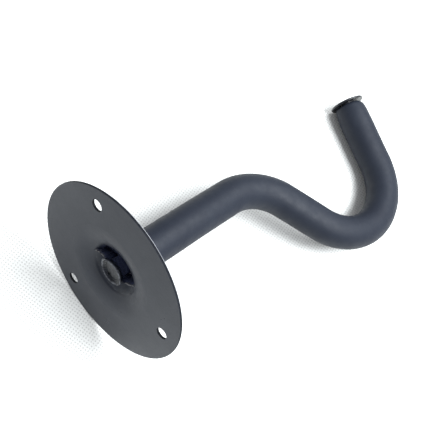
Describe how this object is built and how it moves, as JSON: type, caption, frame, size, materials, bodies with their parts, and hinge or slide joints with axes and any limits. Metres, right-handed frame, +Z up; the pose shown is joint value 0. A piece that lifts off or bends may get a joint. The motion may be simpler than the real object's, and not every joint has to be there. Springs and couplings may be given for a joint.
{
  "type": "wall guitar hanger",
  "caption": "Round steel wall plate with a bent rod welded in its pressed centre; the rod ends in an upturned hook sleeved in foam, with a disc on its tip.",
  "frame": {"origin": "centre of the wall plate, in the plane of its flat wall face, which is the centre of the screw-hole circle", "axes": "+Z up, +Y into the wall along the plate's normal, so the arm runs along -Y; the hook lies in the plane X = 0 and opens upwards"},
  "size_m": [0.075, 0.1756, 0.0936],
  "materials": {
    "plate_paint": "satin black paint on pressed sheet steel",
    "rod_paint": "satin black paint on steel bar",
    "sleeve_foam": "matte skin of closed-cell foam",
    "disc_paint": "gloss black paint on sheet steel",
    "weld_paint": "painted weld bead"
  },
  "bodies": {
    "root": {"wall_plate": "plate_paint", "hook_rod": "rod_paint", "foam_sleeve": "sleeve_foam", "end_disc": "disc_paint", "root_weld": "weld_paint"}
  },
  "joints": []
}
